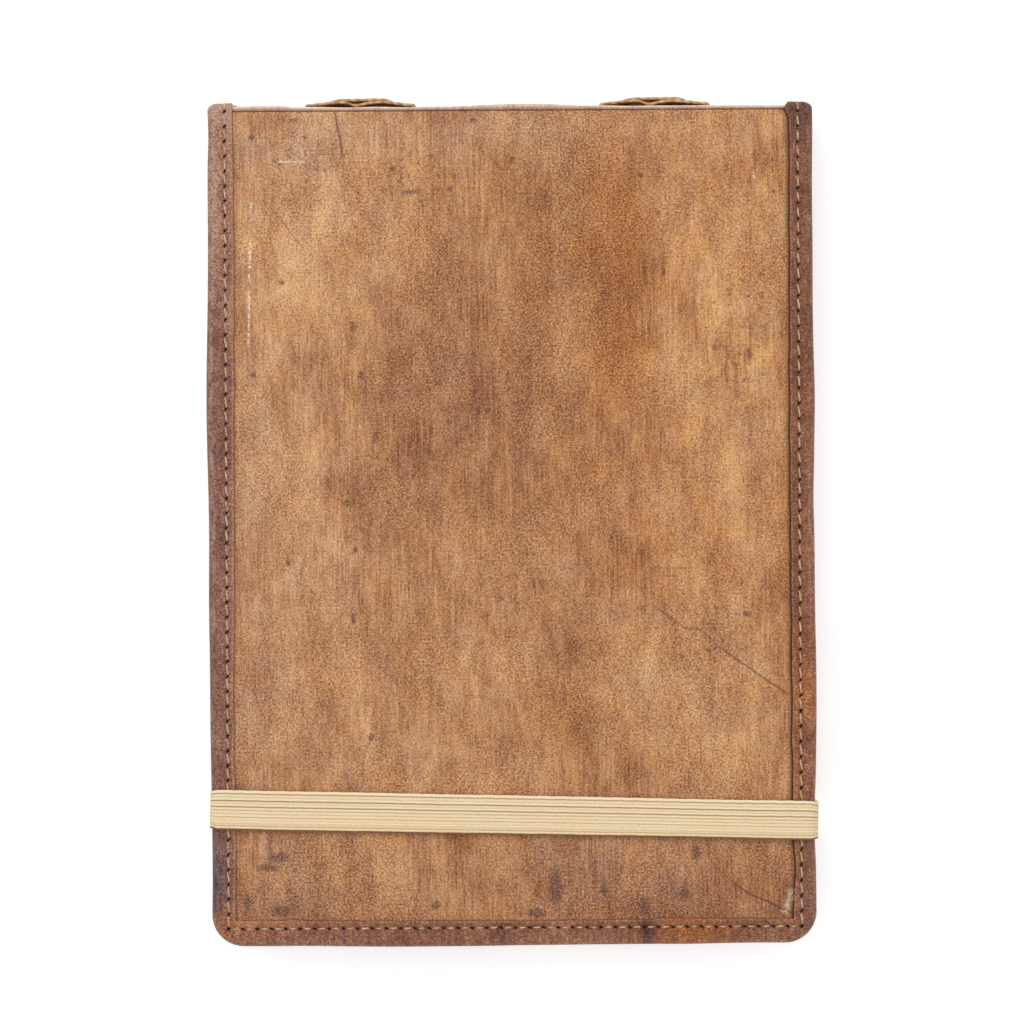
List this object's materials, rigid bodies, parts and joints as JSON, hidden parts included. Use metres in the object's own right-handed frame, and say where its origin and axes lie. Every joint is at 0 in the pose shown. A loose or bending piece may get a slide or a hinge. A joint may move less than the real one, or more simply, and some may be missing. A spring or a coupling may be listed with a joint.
{
  "type": "leather journal",
  "caption": "Top-bound journal with limp leather covers, stitched edge binding, corded spine and a wide elastic band; both covers open and the band slides off.",
  "frame": {"origin": "on the surface that the closed journal lies on, under the middle of its box", "axes": "+Z out of the front cover, +Y towards the spine, +X to the right seen from the front"},
  "size_m": [0.1538, 0.2122, 0.0229],
  "materials": {
    "cover_leather": "waxed, mottled, dull sheen",
    "binding_leather": "waxed, creased",
    "lining": "napped flesh side",
    "board": "matte",
    "thread": "waxed thread",
    "sewing_cord": "waxed twisted cord",
    "paper": "uncoated",
    "elastic": "ribbed woven elastic"
  },
  "bodies": {
    "book_block": {"spine_leather": "cover_leather", "spine_lining": "lining", "left_spine_binding": "binding_leather", "right_spine_binding": "binding_leather", "left_spine_stitching": "thread", "right_spine_stitching": "thread", "pages": "paper", "left_sewing_cord": "sewing_cord", "right_sewing_cord": "sewing_cord"},
    "front_cover": {"front_cover_leather": "cover_leather", "front_board": "board", "front_lining": "lining", "front_binding": "binding_leather", "front_stitching": "thread"},
    "back_cover": {"back_cover_leather": "cover_leather", "back_board": "board", "back_lining": "lining", "back_binding": "binding_leather", "back_stitching": "thread"},
    "elastic_band": {"elastic_band": "elastic", "band_seam": "thread"}
  },
  "joints": [
    {"name": "front_hinge", "type": "hinge", "parent": "book_block", "child": "front_cover", "pos_m": [0, 0.10193, 0.02175], "axis": [-1, 0, 0], "range_deg": [0, 178], "deforming": ["elastic_band"]},
    {"name": "back_hinge", "type": "hinge", "parent": "book_block", "child": "back_cover", "pos_m": [0, 0.10193, 0.00115], "axis": [1, 0, 0], "range_deg": [0, 178], "deforming": ["elastic_band"]},
    {"name": "band_slide", "type": "slide", "parent": "book_block", "child": "elastic_band", "axis": [0, -1, 0], "range_m": [0, 0.045]}
  ]
}
